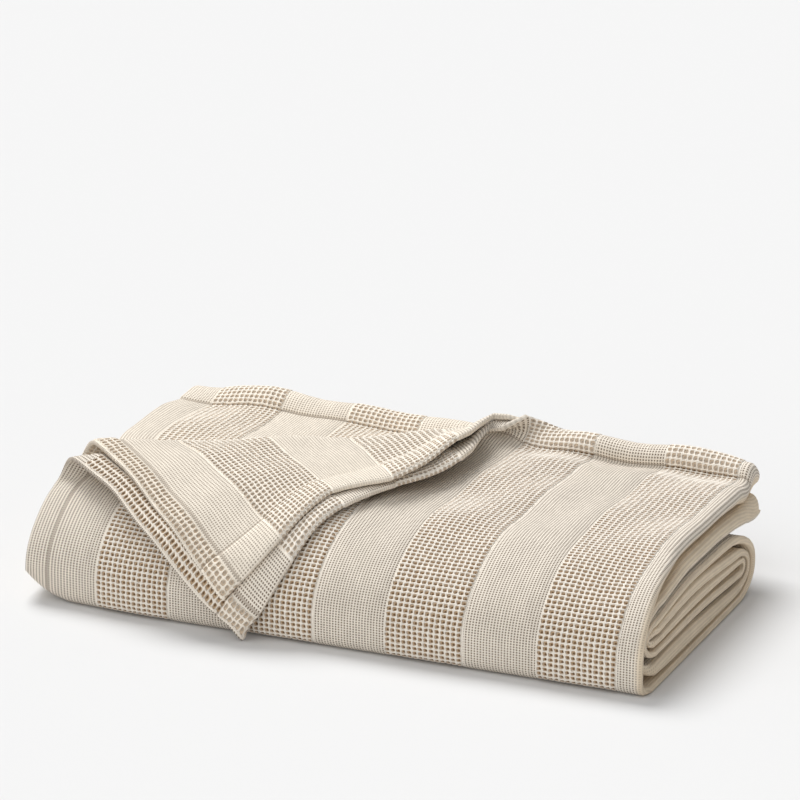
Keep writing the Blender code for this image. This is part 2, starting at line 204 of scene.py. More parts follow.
def smooth(xs, ys, x):
    """Shape-keeping cubic through a few table points."""
    xs, ys, x = np.asarray(xs, float), np.asarray(ys, float), np.asarray(x, float)
    step = np.diff(xs)
    rise = np.diff(ys) / step
    slope = np.empty(len(xs))
    slope[0], slope[-1] = rise[0], rise[-1]
    for i in range(1, len(xs) - 1):
        a, b = rise[i - 1], rise[i]
        slope[i] = 0.0 if a * b <= 0 else 2.0 * a * b / (a + b)
    x = np.clip(x, xs[0], xs[-1])
    i = np.clip(np.searchsorted(xs, x, side="right") - 1, 0, len(xs) - 2)
    t = (x - xs[i]) / step[i]
    return ((2 * t ** 3 - 3 * t ** 2 + 1) * ys[i] + (t ** 3 - 2 * t ** 2 + t) * step[i] * slope[i]
            + (-2 * t ** 3 + 3 * t ** 2) * ys[i + 1] + (t ** 3 - t ** 2) * step[i] * slope[i + 1])


def ramp(x, a, b):
    """Soft step from 0 at a to 1 at b."""
    t = np.clip((np.asarray(x, float) - a) / (b - a), 0.0, 1.0)
    return t * t * (3 - 2 * t)


def curve(table, columns, name, x):
    """A named column of a table as a smooth curve over its first column."""
    k = columns.index(name)
    return smooth([row[0] for row in table], [row[k] for row in table], x)


def fold_at(x, name):
    return curve(FOLD, FOLD_COLUMNS, name, x)


def turn_depth(x, ply):
    return fold_at(x, "y") - (fold_at(x, "nearer") if ply == "inner" else 0.0)


def run_of(name):
    return dict(zip(RUN_COLUMNS, RUNS[name]))


def run_points(name, depths):
    """Points of a run: y, z, thickness, side ends and roundness."""
    r = run_of(name)
    ys = (r["yf"], r["ym"], r["yb"])
    z = smooth(ys, (r["zf"], r["zm"], r["zb"]), depths)
    t = smooth(ys, (r["tf"], r["tm"], r["tb"]), depths)
    return [(y, a, b, r["left"], r["right"], r["round"]) for y, a, b in zip(depths, z, t)]


def turn_points(t, count=24):
    """Two quarter rounds of a turn with the short upright stretch between them."""
    a, b = run_of(t["leave"]), run_of(t["enter"])
    end = "f" if t["y"] < HALF_WAY else "b"
    ends = [tuple(r[k + end] for k in ("y", "z", "t")) + (r["left"], r["right"], r["round"])
            for r in (a, b)]
    plump = (a["round"] + b["round"]) / 2
    points = []
    for outer, back in zip(ends, (False, True)):
        height = t["high"] if outer[1] > (t["high"] + t["low"]) / 2 else t["low"]
        tip = (t["y"], height, t["t"], t["left"], t["right"], plump)
        for i in (range(count, 0, -1) if back else range(1, count + 1)):
            angle = math.pi / 2 * i / count
            out, up = math.sin(angle), 1 - math.cos(angle)
            points.append((outer[0] + (tip[0] - outer[0]) * out, outer[1] + (tip[1] - outer[1]) * up)
                          + tuple(outer[k] + (tip[k] - outer[k]) * out for k in (2, 3, 4, 5)))
    return points


class Band:
    """Line of the four-ply band from the upper back hem to the lower one."""

    def __init__(self):
        points = run_points("top", np.linspace(DEPTH, 24.0, 160))
        for row in TURNS:
            turn = dict(zip(TURN_COLUMNS, row))
            points += turn_points(turn)
            r = run_of(turn["enter"])
            ends = (r["yf"], r["yb"]) if turn["y"] < HALF_WAY else (r["yb"], r["yf"])
            points += run_points(turn["enter"], np.linspace(*ends, 130))[1:]
        dense = np.array(points)
        step = np.r_[0, np.cumsum(np.hypot(*np.diff(dense[:, :2], axis=0).T))]
        even = np.arange(0, step[-1], 0.2)
        dense = np.stack([np.interp(even, step, dense[:, k]) for k in range(6)], axis=1)
        soft = dense.copy()
        for k in range(6):
            soft[2:-2, k] = np.convolve(dense[:, k], np.ones(5) / 5, "valid")
        self.line = soft
        run = np.gradient(soft[:, :2], axis=0)
        run /= np.linalg.norm(run, axis=1)[:, None]
        self.normal = np.stack((run[:, 1], -run[:, 0]), axis=1)
        skin = soft[:, :2] + self.normal * soft[:, 2:3] / 2
        far = np.r_[0, np.cumsum(np.linalg.norm(np.diff(skin, axis=0), axis=1))]
        level = np.argmin(np.abs(skin[:200, 0] - LEVEL_Y))  # the first 200 are on the top run
        self.v = LEVEL_Y + far[level] - far
        bent = np.abs(np.gradient(np.unwrap(np.arctan2(run[:, 1], run[:, 0]))))
        self.bend = np.r_[0, np.cumsum(bent[1:])]

    def rows(self):
        """The v of each row of points: close at the hems, about one step apart where the cloth
        shows, and further apart inside the pile, but never far apart in a bend."""
        hem = DEPTH - np.array([0, 0.1, 0.35, 0.8, 1.5, 2.3, 3.2, 4.1, 4.9, 5.45, 5.8, 6.0, 6.2,
                                6.45, 6.75, 7.3])
        top = list(np.arange(63.0, 14.0, -0.95)) + list(np.arange(14.0, -12.4, -1.05))
        last = self.v[-1] + (DEPTH - hem[::-1])
        after = (self.v < top[-1] - 0.6) & (self.v > last[0] + 0.4)
        cost = (top[-1] - self.v) / 5.4 + (self.bend - self.bend[after][0]) / 0.36
        ticks = np.arange(1, int(cost[after][-1]) + 1)
        rest = np.interp(ticks * cost[after][-1] / len(ticks), cost[after], self.v[after])
        return np.array(list(hem) + top + list(rest) + list(last))

    def at(self, v):
        """Depth, height, thickness, side ends, roundness and normal where the skin is at v."""
        order = self.v[::-1]
        values = np.hstack((self.line, self.normal))[::-1]
        return [np.interp(v, order, values[:, k]) for k in range(8)]

    def on_skin(self, x, v, up):
        """Points a height over the outer skin."""
        y, z, t, *_, ny, nz = self.at(np.clip(v, SKIN_END, DEPTH))
        y = y + ny * t / 2 + np.maximum(v - DEPTH, 0)
        z = z + nz * t / 2 + np.minimum(v - SKIN_END, 0)
        return np.stack(np.broadcast_arrays(x, y + ny * up, z + nz * up), axis=-1)


def turned(band, x, far, ply):
    """Where a turned ply's cloth lies, for columns x and a grid of distances past the fold line:
    round the roll first, then straight on to its hem."""
    hem = OUTER_HEM if ply == "outer" else INNER_HEM
    y = turn_depth(x, ply)
    thick = band.at(y)[2]
    sunk = -thick * (3 / 8 if ply == "outer" else 1 / 8)  # the ply's middle, under the skin
    radius = fold_at(x, ply)
    total = DEPTH - y
    end = np.stack([curve(hem, HEM_COLUMNS, name, x - EDGE_X) for name in HEM_COLUMNS[1:]], axis=1)
    slope = np.arctan2(turn_depth(x + 1, ply) - turn_depth(x - 1, ply), 2.0)
    base = np.stack((x, y), axis=1)
    for _ in range(4):
        used = math.pi * radius / np.cos(slope)
        start = base + (used * np.sin(slope))[:, None] * np.stack((np.cos(slope), np.sin(slope)), 1)
        reach = end[:, :2] - start
        heading = np.degrees(np.arctan2(reach[:, 1], reach[:, 0]))
        better = np.radians(np.clip((90 + heading) / 2, 12, 52))
        share = ramp(total - used, 0.5, 3.0)
        slope = slope * (1 - share) + better * share
    over = np.stack((-np.sin(slope), np.cos(slope)), axis=1)
    side = np.stack((np.cos(slope), np.sin(slope)), axis=1)
    angle = np.clip(far, 0, used) * np.cos(slope) / radius
    on_roll = (base[None] + over[None] * (radius * np.sin(angle))[..., None]
               + side[None] * (np.clip(far, 0, used) * np.sin(slope))[..., None])
    roll_up = sunk + radius * (1 - np.cos(angle))
    part = np.clip((far - used) / np.maximum(total - used, 0.2), 0, 1)
    flat = start[None] + part[..., None] * reach[None]
    lift = (sunk + 2 * radius) + (end[:, 2] - (sunk + 2 * radius)) * ramp(part, 0, 1)
    past = (far > used)[..., None]
    plan = np.where(past, flat, on_roll)
    up = np.where(past[..., 0], lift, roll_up)
    return band.on_skin(plan[..., 0], plan[..., 1], up)


def standing(ply, x, v):
    """How far the stacked hems' cloth moves back and up from lying flat, for rows v, columns x."""
    rise, tilt, hold, end, curl = (curve(STANDING[ply], STANDING_COLUMNS, name, x)[None]
                                   for name in STANDING_COLUMNS[1:])
    step, start, length = 0.1, 55.0, 9.0  # step of the sums, and where the rise before the seam is
    fine = np.arange(STAND_FROM, DEPTH + 0.15, step)[:, None]
    part = np.clip((fine - start) / length, 0, 1)
    wave = rise / length * (1 - np.cos(2 * math.pi * part))
    angle = np.arctan(wave) + np.radians(tilt * ramp(fine, SEAM - 1.5, SEAM + 0.5)
                                         + (end - tilt) * np.clip((fine - SEAM - hold) / curl, 0, 1))
    back = np.cumsum(np.cos(angle) - 1, axis=0) * step
    up = np.cumsum(np.sin(angle), axis=0) * step
    place = np.clip((v - STAND_FROM) / step, 0, len(fine) - 1.001)
    i, part = place.astype(int), (place % 1)[:, None]
    return [a[i] * (1 - part) + a[i + 1] * part for a in (back, up)]


def settle(points):
    """Unevenness of the whole pile, the same for every ply."""
    x, y, z = points[..., 0].copy(), points[..., 1].copy(), points[..., 2].copy()
    s = (x - X_MIDDLE) / 60.0
    back = ramp(y, 24, 66)
    swell = back * (0.045 * ramp(-s, 0.0, 0.5) + 0.030 * np.exp(-((x + 97) / 11) ** 2)
                    + 0.008 * np.sin(5.0 * s + 0.6))
    high = ramp(z, 12.4, 14.0)
    y = y - 1.8 * high * ramp(x, -5, 4) * ramp(y, 48, DEPTH)
    y = y + 1.6 * ramp(-x, 90, 116) * (1 - ramp(y, 2, 16))
    x = x - ramp(-x, 100, 114) * (1.7 * (1 - ramp(y, 10, 30)) + 2.2 * ramp(z, 12, 15)
                                  * ramp(y, 34, 46) * (1 - ramp(y, 60, 68)))
    z = z - 0.7 * high * ramp(x, -16, 0) * ramp(y, 42, 56) * (1 - ramp(z, 16.2, 18.2))
    corner = np.minimum(0.05 * np.maximum(-106 - x, 0) ** 2, 4.2)  # the lower left corner lifts
    z = z * (1 + swell) + corner * (1 - ramp(z, 0, 7)) * (1 - ramp(y, 6, 14))
    return np.stack((x, y, z), axis=-1)


def ripples(points):
    """Soft unevenness of the upper cloth, up and down only."""
    x, y, z = points[..., 0], points[..., 1], points[..., 2]
    amount = 0.30 * ramp(z, 11.0, 19.0)
    wave = (np.sin(0.21 * x + 0.13 * y + 0.4) * np.sin(0.17 * y - 0.08 * x + 1.1)
            + 0.6 * np.sin(0.37 * x - 0.22 * y + 2.0))
    lift = np.zeros_like(points)
    lift[..., 2] = amount * wave
    return lift


def stripe_edges(k):
    return FIRST + PERIOD * k, FIRST + PERIOD * k + OPEN


def filled(stops, step):
    """Stops with evenly spaced places between them."""
    places = [stops[0]]
    for a, b in zip(stops, stops[1:]):
        count = max(1, round(abs(b - a) / step))
        places += [a + (b - a) * (i + 1) / count for i in range(count)]
    return places


def cloth_columns():
    """Columns across the whole cloth: ply or fold, x, share of the stretch to a fold, and u."""
    # thickness of the band and x of its round end that u is counted with, and how far the columns
    # beside a stripe edge are from it
    band_t, end_x, beside = 2.6, 1.3, 0.14
    side = [EDGE_X, -113.25, -112.8, -112.2, -111.3, -110.2, -109.6, -109.25, -108.9]
    edges = [EDGE_X + s + d for k in range(4) for s in stripe_edges(k) for d in (-beside, beside)]
    upper = (side[:-1] + filled([-108.9] + edges[:10], 2.5)
             + filled([edges[9]] + edges[10:15] + [0.5], 3.1)[1:])
    cols = [("A", x, 0.0, x - EDGE_X) for x in upper]
    u = end_x - EDGE_X

    def fold(name, length, steps):
        return [(name, 0.0, 0.0, u + length * k / steps) for k in range(1, steps)]

    outer, inner = 3 / 8 * band_t * math.pi, band_t / 8 * math.pi
    cols.append(("A", 0.5, 1.0, u))
    cols += fold("AD", outer, 10)
    u += outer
    cols.append(("D", 0.5, 1.0, u))
    u += end_x - 0.5
    cols += [("D", x, 0.0, u + 0.5 - x) for x in filled([0.5, -111.0], 6.6)]
    u += 0.5 + 114.0
    cols.append(("D", -111.0, 1.0, u))
    cols += fold("DC", inner, 5)
    u += inner
    cols.append(("C", -111.0, 1.0, u))
    u += 3.0
    seen = [C_EDGE - s - d for k in (7, 6, 5) for s in stripe_edges(k)[::-1] for d in (beside, -beside)]
    cols += [("C", x, 0.0, u + x + 111.0) for x in filled([-111.0] + seen + [-1.0], 3.4)]
    u += 110.0 + 1.55
    cols.append(("C", -1.0, 1.0, u))
    cols += fold("CB", inner + 3.5, 5)
    u += inner + 3.5
    cols.append(("B", -1.0, 1.0, u))
    u += 1.55
    lower = filled([-1.0, edges[9]], 4.2) + filled(edges[9::-1] + [-108.9], 2.5)[1:]
    cols += [("B", x, 0.0, u - 1.0 - x) for x in lower + side[-2::-1]]
    return cols


COLUMNS = cloth_columns()
WIDTH_U = COLUMNS[-1][-1]  # width of the flat cloth, in steps


def cloth_grid(sizes):
    """Middle surface of the whole folded cloth: points, u, v and half thickness."""
    band = Band()
    v = band.rows()
    y, z, t, left, right, plump, ny, nz = band.at(v)
    rows, count = len(v), len(COLUMNS)
    last = 1 - ramp(v - v[-1], 1.5, 13.0)  # the lower back hem
    y, z = y + 0.4 * last, z - 1.5 * last
    full = 0.25 * ramp(v, 46, 63)  # the upper run is fuller at the back
    z = z - full * t / 2
    spread = 1 + 1.15 * last + full
    right = right - 0.2 * last - 0.6 * ramp(v, 58, 66)
    deep = (0.55 + 0.45 * plump) * 3 / 8 * t * (1 + 0.5 * last)
    centre = right - deep
    centre_in = centre - 0.75
    tip = left + t / 8 + 0.3
    points = np.zeros((rows, count, 3))
    plies = np.array([c[0] for c in COLUMNS])
    share = np.array([c[2] for c in COLUMNS])
    for ply, off in PLY_AT.items():
        which = np.flatnonzero(plies == ply)
        x = np.array([COLUMNS[j][1] for j in which])
        goal = {"A": centre, "B": centre_in}.get(ply)
        for i, j in enumerate(which):
            to = goal
            if goal is None:
                to = (centre if ply == "D" else centre_in) if x[i] > -50 else tip
            points[:, j, 0] = x[i] + share[j] * (to - x[i])
        droop = np.where(x < -110.0, (-110.0 - x) ** 2 / 11.6, 0) * {"A": 0.12, "B": 0.03}.get(ply, 0)
        out = (off - droop[None]) * (t * spread)[:, None]
        points[:, which, 1] = y[:, None] + ny[:, None] * out
        points[:, which, 2] = z[:, None] + nz[:, None] * out
        upper = v > STAND_FROM
        back, up = standing(ply, x, v[upper])
        points[np.ix_(upper, which, [1])] += back[..., None]
        points[np.ix_(upper, which, [2])] += up[..., None]
        if ply in "AB":
            name = "inner" if ply == "A" else "outer"  # as seen once they are turned over
            upper = v > 10.0
            over = which[x < STANDS_FROM]
            x = x[x < STANDS_FROM]
            far = v[upper][:, None] - turn_depth(x, name)[None]
            moved = turned(band, x, far, name)
            flat = points[np.ix_(upper, over)]
            moved = np.where((far > 0)[..., None], moved, flat)
            mix = ramp(-x, -STANDS_FROM, -TURNED_BY)[None, :, None]
            points[np.ix_(upper, over)] = flat * (1 - mix) + moved * mix
    for name, sign in (("AD", 1), ("CB", 1), ("DC", -1)):
        which = np.flatnonzero(plies == name)
        first, final = points[:, which[0] - 1], points[:, which[-1] + 1]
        size = np.linalg.norm(first - final, axis=1) / 2
        reach = deep if name == "AD" else size
        power = (0.45 + 0.55 * plump) if name == "AD" else np.ones(rows)
        for j, point in zip(which, arc_points(first, final, sign * reach, len(which) + 1, power)):
            points[:, j] = point
    points = settle(points)
    points = points + ripples(points)
    us = cloth_widths(points, plies)
    half = thickness(sizes, v, t, us[0], last)
    points[..., 2] = np.maximum(points[..., 2], half)  # nothing sinks into the floor
    return points, us, v, half


def arc_points(first, final, reach, count, power):
    """Rounded end between two edges of the cloth, one array of points for each step round it."""
    middle, half = (first + final) / 2, (first - final) / 2
    for k in range(1, count):
        angle = math.pi * k / count
        across = np.sign(math.cos(angle)) * np.abs(math.cos(angle)) ** power
        point = middle + half * across[:, None]
        point[:, 0] += reach * math.sin(angle) ** power
        yield point


def cloth_widths(points, plies):
    """Place across the flat cloth for every point. Round the right end it follows the real length."""
    us = np.broadcast_to(np.array([c[-1] for c in COLUMNS]), points.shape[:2]).copy()
    first = np.flatnonzero(plies == "A")[-2]
    end = np.flatnonzero(plies == "D")[1]
    step = np.linalg.norm(np.diff(points[:, first:end + 1], axis=1), axis=2)
    real = us[:, first:first + 1] + np.cumsum(step, axis=1)
    more = real[:, -1] - us[:, end]
    us[:, first + 1:end + 1] = real
    under = np.flatnonzero(plies == "D")[2:]
    us[:, under] += more[:, None] * np.linspace(1, 0, len(under) + 1)[None, 1:]
    return us


def thickness(sizes, v, t, us, last):
    """Half thickness of the cloth: thin field, recessed open stripes, puffed hems, sewn grooves."""
    half = 0.5 * np.minimum(sizes.field_thickness / CELL, sizes.ply_gap * t / 4 * (1 + 0.7 * last))
    half = np.repeat(half[:, None], len(us), axis=1)
    s = np.minimum(us, WIDTH_U - us)
    along = (s - FIRST) % PERIOD
    stripe = (s > FIRST) & (along < OPEN)
    half -= np.where(stripe, sizes.recess / CELL, 0)[None]
    full = 0.5 * sizes.hem_thickness / CELL
    round_end = (0.75 * ramp(s, END_FROM - 4.5, END_FROM - 1.5) * (s < END_TO))[None]
    for far in (DEPTH - v, v - v[-1]):
        place = np.clip(far / HEM_BAND, 0, 1)
        puff = np.where(far < HEM_BAND, np.clip(1 - np.abs(2 * place - 1) ** 3.2, 0, 1) ** 0.5, 0)
        puff = puff[:, None] * (1 - round_end)
        half = half * (1 - puff) + (full - np.where(stripe, 0.5 * sizes.recess / CELL, 0))[None] * puff
        half *= 1 - 0.42 * np.exp(-((far - HEM_BAND) / 0.28) ** 2)[:, None] * (1 - round_end)
    side = np.exp(-((s - 1.9) / 2.1) ** 4) * 0.30
    half *= 1 + side[None]
    room = 0.96 * t / 8 * (1 + 0.7 * last)  # past the front no ply is thicker than its room
    half = np.where((v < 10)[:, None], np.minimum(half, room[:, None]), half)
    half *= 1 - 0.40 * np.exp(-((s - SIDE_BAND) / 0.28) ** 2)[None]
    return np.maximum(half, 0.06)


# -------- materials

class Nodes:
    """Short hand for building a shader or geometry tree."""

    def __init__(self, tree):
        self.tree = tree

    def put(self, socket, value):
        if isinstance(value, bpy.types.NodeSocket):
            self.tree.links.new(value, socket)
        else:
            socket.default_value = value

    def fill(self, node, inputs):
        """Links or sets a node's inputs, by name or number."""
        for key, value in inputs.items():
            self.put(node.inputs[key], value)

    def new(self, kind, inputs=None, **settings):
        node = self.tree.nodes.new(kind)
        for key, value in settings.items():
            setattr(node, key, value)
        self.fill(node, inputs or {})
        return node

    def out(self, kind, inputs=None, **settings):
        """First output of a new node."""
        return self.new(kind, inputs, **settings).outputs[0]

    def math(self, operation, *values, clamp=False):
        return self.out("ShaderNodeMath", dict(enumerate(values)), operation=operation, use_clamp=clamp)

    def plus(self, a, b):
        return self.math("ADD", a, b)

    def minus(self, a, b):
        return self.math("SUBTRACT", a, b)

    def times(self, a, b):
        return self.math("MULTIPLY", a, b)

    def vector(self, operation, *values):
        keys = (0, "Scale") if operation == "SCALE" else (0, 1, 2)
        return self.out("ShaderNodeVectorMath", dict(zip(keys, values)), operation=operation)

    def step(self, value, low, high):
        inputs = dict(enumerate((value, low, high, 0.0, 1.0)))
        return self.out("ShaderNodeMapRange", inputs, interpolation_type="SMOOTHSTEP")

    def noise(self, place, scale, detail=2.0):
        inputs = {"Vector": place, "Scale": scale, "Detail": detail}
        return self.new("ShaderNodeTexNoise", inputs, noise_dimensions="2D").outputs

    def blend(self, factor, a, b):
        """Colour a where factor is 0 and b where it is 1."""
        node = self.new("ShaderNodeMix", {"Factor": factor}, data_type="RGBA")
        for socket, colour in zip([s for s in node.inputs if s.type == "RGBA"], (a, b)):
            self.put(socket, colour)
        return next(s for s in node.outputs if s.type == "RGBA")


def new_group(name, inputs, outputs, kind="ShaderNodeTree"):
    """Node tree with named inputs and outputs, given with the kinds of their sockets."""
    tree = bpy.data.node_groups.new(name, kind)
    for way, sockets in (("INPUT", inputs), ("OUTPUT", outputs)):
        for label, socket in sockets.items():
            tree.interface.new_socket(name=label, in_out=way, socket_type="NodeSocket" + socket)
    return tree


def weave_group():
    """Colour and height of the striped weave from the cloth's own UV map, with painted light and shade in
    its colour.
    """
    tree = new_group("Striped weave", {
        "UV": "Vector", "Thread": "Color", "Gap": "Color", "Hole": "Color", "Deep": "Color",
        "Hole width": "Float", "Hole slant": "Float"}, {"Colour": "Color", "Height": "Float"})
    n = Nodes(tree)
    plus, minus, times = n.plus, n.minus, n.times
    given, done = n.new("NodeGroupInput").outputs, n.new("NodeGroupOutput")

    def above(value, low):
        return n.math("GREATER_THAN", value, low)

    def between(value, low, high):
        return times(above(value, low), n.math("LESS_THAN", value, high))

    def either(a, b):
        return n.math("MAXIMUM", a, b)

    def off_middle(value, pitch):
        """Place in a repeat of the weave, from -0.5 to 0.5."""
        return minus(n.math("FRACT", n.math("DIVIDE", value, pitch)), 0.5)

    def size(value):
        return n.math("ABSOLUTE", value)

    def reach(a, b):
        return n.math("SQRT", plus(times(a, a), times(b, b)))

    split = n.new("ShaderNodeSeparateXYZ", {0: given["UV"]}).outputs
    u = times(split[0], UV_STEPS)
    v = minus(times(split[1], UV_STEPS), UV_SHIFT)
    s = n.math("MINIMUM", u, minus(WIDTH_U, u))
    along = times(n.math("FRACT", n.math("DIVIDE", minus(s, FIRST), PERIOD)), PERIOD)
    over = above(u, WIDTH_U / 2)  # the half of the cloth that shows on the turned corner
    hem = above(v, SEAM)
    end = times(n.step(s, END_FROM, END_FROM + 1.6), n.math("LESS_THAN", s, END_TO))
    stripe = times(between(along, 0.0, OPEN), above(s, FIRST))
    holes = times(stripe, between(along, OPEN_BORDER, OPEN - OPEN_BORDER))
    side = times(between(s, SIDE_START, SIDE_START + SIDE_COLUMNS * HOLE_U),
                 either(over, above(v, SIDE_FROM)))
    # holes of the open weave: slanted rounded squares, each with a pit of painted shade a little off
    # the middle, on the side that the hole's wall shades
    across = plus(times(minus(along, OPEN_BORDER), stripe),
                  times(minus(s, SIDE_START), minus(1.0, stripe)))
    a, b = off_middle(across, HOLE_U), off_middle(minus(FIRST_HOLES, v), HOLE_V)
    cos, sin = (n.math(k, given["Hole slant"]) for k in ("COSINE", "SINE"))
    square = either(size(minus(times(a, cos), times(b, sin))), size(plus(times(a, sin), times(b, cos))))
    far = plus(times(reach(a, b), 1 - SQUARE), times(square, SQUARE))
    width = times(given["Hole width"], 0.5)
    hole = times(n.step(far, plus(width, 0.06), minus(width, 0.04)), either(holes, side))
    pit_shade = n.step(reach(minus(a, 0.07), minus(b, 0.06)), times(width, 0.95), times(width, 0.25))
    # ribs and pinholes of the plain weave, and the seam lines, with painted shade in them
    groove = times(n.step(size(off_middle(s, PLAIN_U)), 0.12, 0.40), minus(1.0, either(stripe, side)))
    pin = times(groove, n.step(size(off_middle(v, PLAIN_V)), 0.10, 0.38))
    # the pinholes are fainter on the round right end and the turned-over half, in painted shade and bump
    for mask, less in ((end, 0.72), (over, 0.28)):
        pin = times(pin, minus(1.0, times(mask, less)))
    seam = n.step(n.math("MINIMUM", size(minus(s, SIDE_BAND)), size(minus(v, SEAM))), 0.30, 0.06)
    weave_shade = n.math("ADD", times(groove, GROOVE_SHADE), times(pin, PIN_SHADE), clamp=True)
    weave_shade = either(weave_shade, times(seam, SEAM_SHADE))
    # slubs in the thread and a slow change of tone, then painted light and shade on parts of the cloth:
    # a lighter, cooler painted highlight on the open stripes, darker, warmer painted shade on the round
    # right end, and painted light on the turned-over half and on the hems
    slubs = n.noise(n.vector("MULTIPLY", given["UV"], (UV_STEPS * 1.1, UV_STEPS * 0.3, 0)), 1.0, 3.0)[0]
    slow = n.noise(given["UV"], 22.0)[0]
    tone = plus(times(minus(slubs, 0.5), 0.22), times(minus(slow, 0.5), 0.10))
    thread = n.vector("SCALE", given["Thread"], plus(1.0, tone))
    for mask, change in ((stripe, (0.03, 0.05, 0.08)), (end, (-0.08, -0.155, -0.27)),
                         (over, (0.04, 0.035, 0.02)), (hem, (0.06, 0.06, 0.06))):
        thread = n.vector("MULTIPLY", thread, n.vector("MULTIPLY_ADD", mask, change, (1, 1, 1)))
    # painted shade in the holes, tan on their sides and darker in the pit, lighter where turned or hemmed
    hole_shade = n.blend(pit_shade, given["Hole"], given["Deep"])
    hole_shade = n.blend(times(either(over, hem), HOLE_SHADE_FADE), hole_shade, thread)
    sunk = plus(times(groove, 0.2), times(pin, 0.6))
    n.fill(done, {"Colour": n.blend(hole, n.blend(weave_shade, thread, given["Gap"]), hole_shade),
                  "Height": minus(1.0, plus(hole, sunk))})
    return tree


def new_material(name):
    """New material with its nodes and its shader."""
    mat = bpy.data.materials.new(name)
    mat.use_nodes = True
    return mat, Nodes(mat.node_tree), mat.node_tree.nodes["Principled BSDF"]


def cotton(name, colours, sizes, weave, bump):
    """Cotton cloth: weave colours with painted shade and light, soft fuzz and fibre bump."""
    mat, n, shader = new_material(name)
    uv = n.out("ShaderNodeUVMap", uv_map="UVMap")
    inputs = {key.capitalize(): (*getattr(colours, key), 1.0)
              for key in ("thread", "gap", "hole", "deep")}
    inputs.update({"UV": uv, "Hole width": sizes.hole_share, "Hole slant": sizes.slant})
    group = n.new("ShaderNodeGroup", node_tree=weave)
    n.fill(group, inputs)
    fibre = n.noise(uv, UV_STEPS * 4)[0]
    height = n.plus(n.times(group.outputs["Height"], bump), n.times(fibre, 0.3))
    normal = n.out("ShaderNodeBump", {"Strength": 0.9, "Distance": 0.0008, "Height": height})
    n.fill(shader, {"Base Color": group.outputs["Colour"], "Roughness": 0.92, "Specular IOR Level": 0.2,
                    "Sheen Weight": 0.10, "Sheen Roughness": 0.6, "Normal": normal})
    return mat


# -------- laying pieces on the cloth

def lay_tree(name):
    """Copies a small flat shape to each point, then bends them all on to the cloth by its UV map."""
    tree = new_group(name, {
        "Points": "Geometry", "Shape": "Object", "Cloth": "Object", "Side": "Float", "Sink": "Float",
        "Wander": "Float", "Weld": "Float", "Step": "Float", "Material": "Material"},
        {"Mesh": "Geometry"}, "GeometryNodeTree")
    tree.is_modifier = True
    n = Nodes(tree)
    given, done = n.new("NodeGroupInput").outputs, n.new("NodeGroupOutput")
    shape, cloth = (n.new("GeometryNodeObjectInfo", {"Object": given[k]}).outputs["Geometry"]
                    for k in ("Shape", "Cloth"))
    mesh = n.out("GeometryNodeInstanceOnPoints", {"Points": given["Points"], "Instance": shape})
    mesh = n.out("GeometryNodeRealizeInstances", {0: mesh})
    mesh = n.out("GeometryNodeMergeByDistance", {"Geometry": mesh, "Distance": given["Weld"]})
    # the flat place of each point is kept as the piece's own UV map
    place = n.out("GeometryNodeInputPosition")
    split = n.new("ShaderNodeSeparateXYZ", {0: place}).outputs
    flat = n.out("ShaderNodeCombineXYZ", {k: n.math("DIVIDE", split[k], UV_STEPS) for k in (0, 1)})
    mesh = n.out("GeometryNodeStoreNamedAttribute", {"Geometry": mesh, "Name": "UVMap", "Value": flat},
                 data_type="FLOAT2", domain="CORNER")
    stray = n.vector("SUBTRACT", n.noise(place, 0.8, 1.5)["Color"], (0.5, 0.5, 0.5))
    stray = n.vector("SCALE", stray, n.math("DIVIDE", given["Wander"], UV_STEPS))
    where = n.vector("ADD", flat, stray)

    def sample(kind, value):
        """The cloth's value at each point's flat place."""
        uv = n.out("GeometryNodeInputNamedAttribute", {"Name": "UVMap"}, data_type="FLOAT_VECTOR")
        return n.out("GeometryNodeSampleUVSurface", {
            "Mesh": cloth, "Value": value, "UV Map": uv, "Sample UV": where}, data_type=kind)

    half = n.out("GeometryNodeInputNamedAttribute", {"Name": "half"}, data_type="FLOAT")
    # the open rims sink into the cloth, and everything else stands at its own height over it
    compare = n.new("FunctionNodeCompare", data_type="INT", operation="EQUAL")
    counts = [socket for socket in compare.inputs if socket.type == "INT"]
    n.put(counts[0], n.out("GeometryNodeInputMeshEdgeNeighbors"))
    n.put(counts[1], 1)
    rim = compare.outputs[0]
    for domain in ("EDGE", "POINT"):
        rim = n.out("GeometryNodeFieldOnDomain", {0: rim}, data_type="FLOAT", domain=domain)
    rim = n.math("GREATER_THAN", rim, 0.01)
    rise = n.plus(n.times(split[2], n.minus(1.0, rim)), n.times(rim, n.times(given["Sink"], -1.0)))
    rise = n.plus(n.times(rise, given["Step"]), sample("FLOAT", half))
    up = sample("FLOAT_VECTOR", n.out("GeometryNodeInputNormal"))
    up = n.vector("SCALE", up, n.times(rise, given["Side"]))
    there = sample("FLOAT_VECTOR", n.out("GeometryNodeInputPosition"))
    mesh = n.out("GeometryNodeSetPosition", {"Geometry": mesh, "Position": n.vector("ADD", there, up)})
    wrong = n.out("FunctionNodeCompare", {0: given["Side"], 1: 0.0}, data_type="FLOAT",
                  operation="LESS_THAN")
    mesh = n.out("GeometryNodeFlipFaces", {"Mesh": mesh, "Selection": wrong})
    mesh = n.out("GeometryNodeMergeByDistance", {"Geometry": mesh, "Distance": 0.00001})
    mesh = n.out("GeometryNodeSetShadeSmooth", {0: mesh})
    mesh = n.out("GeometryNodeRealizeInstances", {0: mesh})
    mesh = n.out("GeometryNodeSetMaterial", {"Geometry": mesh, "Material": given["Material"]})
    n.put(done.inputs[0], mesh)
    return tree


def add_object(name, data):
    obj = bpy.data.objects.new(name, data)
    bpy.context.scene.collection.objects.link(obj)
    return obj


def make_plain(obj):
    """Gives the object the plain mesh that its modifiers make."""
    graph = bpy.context.evaluated_depsgraph_get()
    done = bpy.data.meshes.new_from_object(obj.evaluated_get(graph))
    obj.modifiers.clear()
    obj.data = done


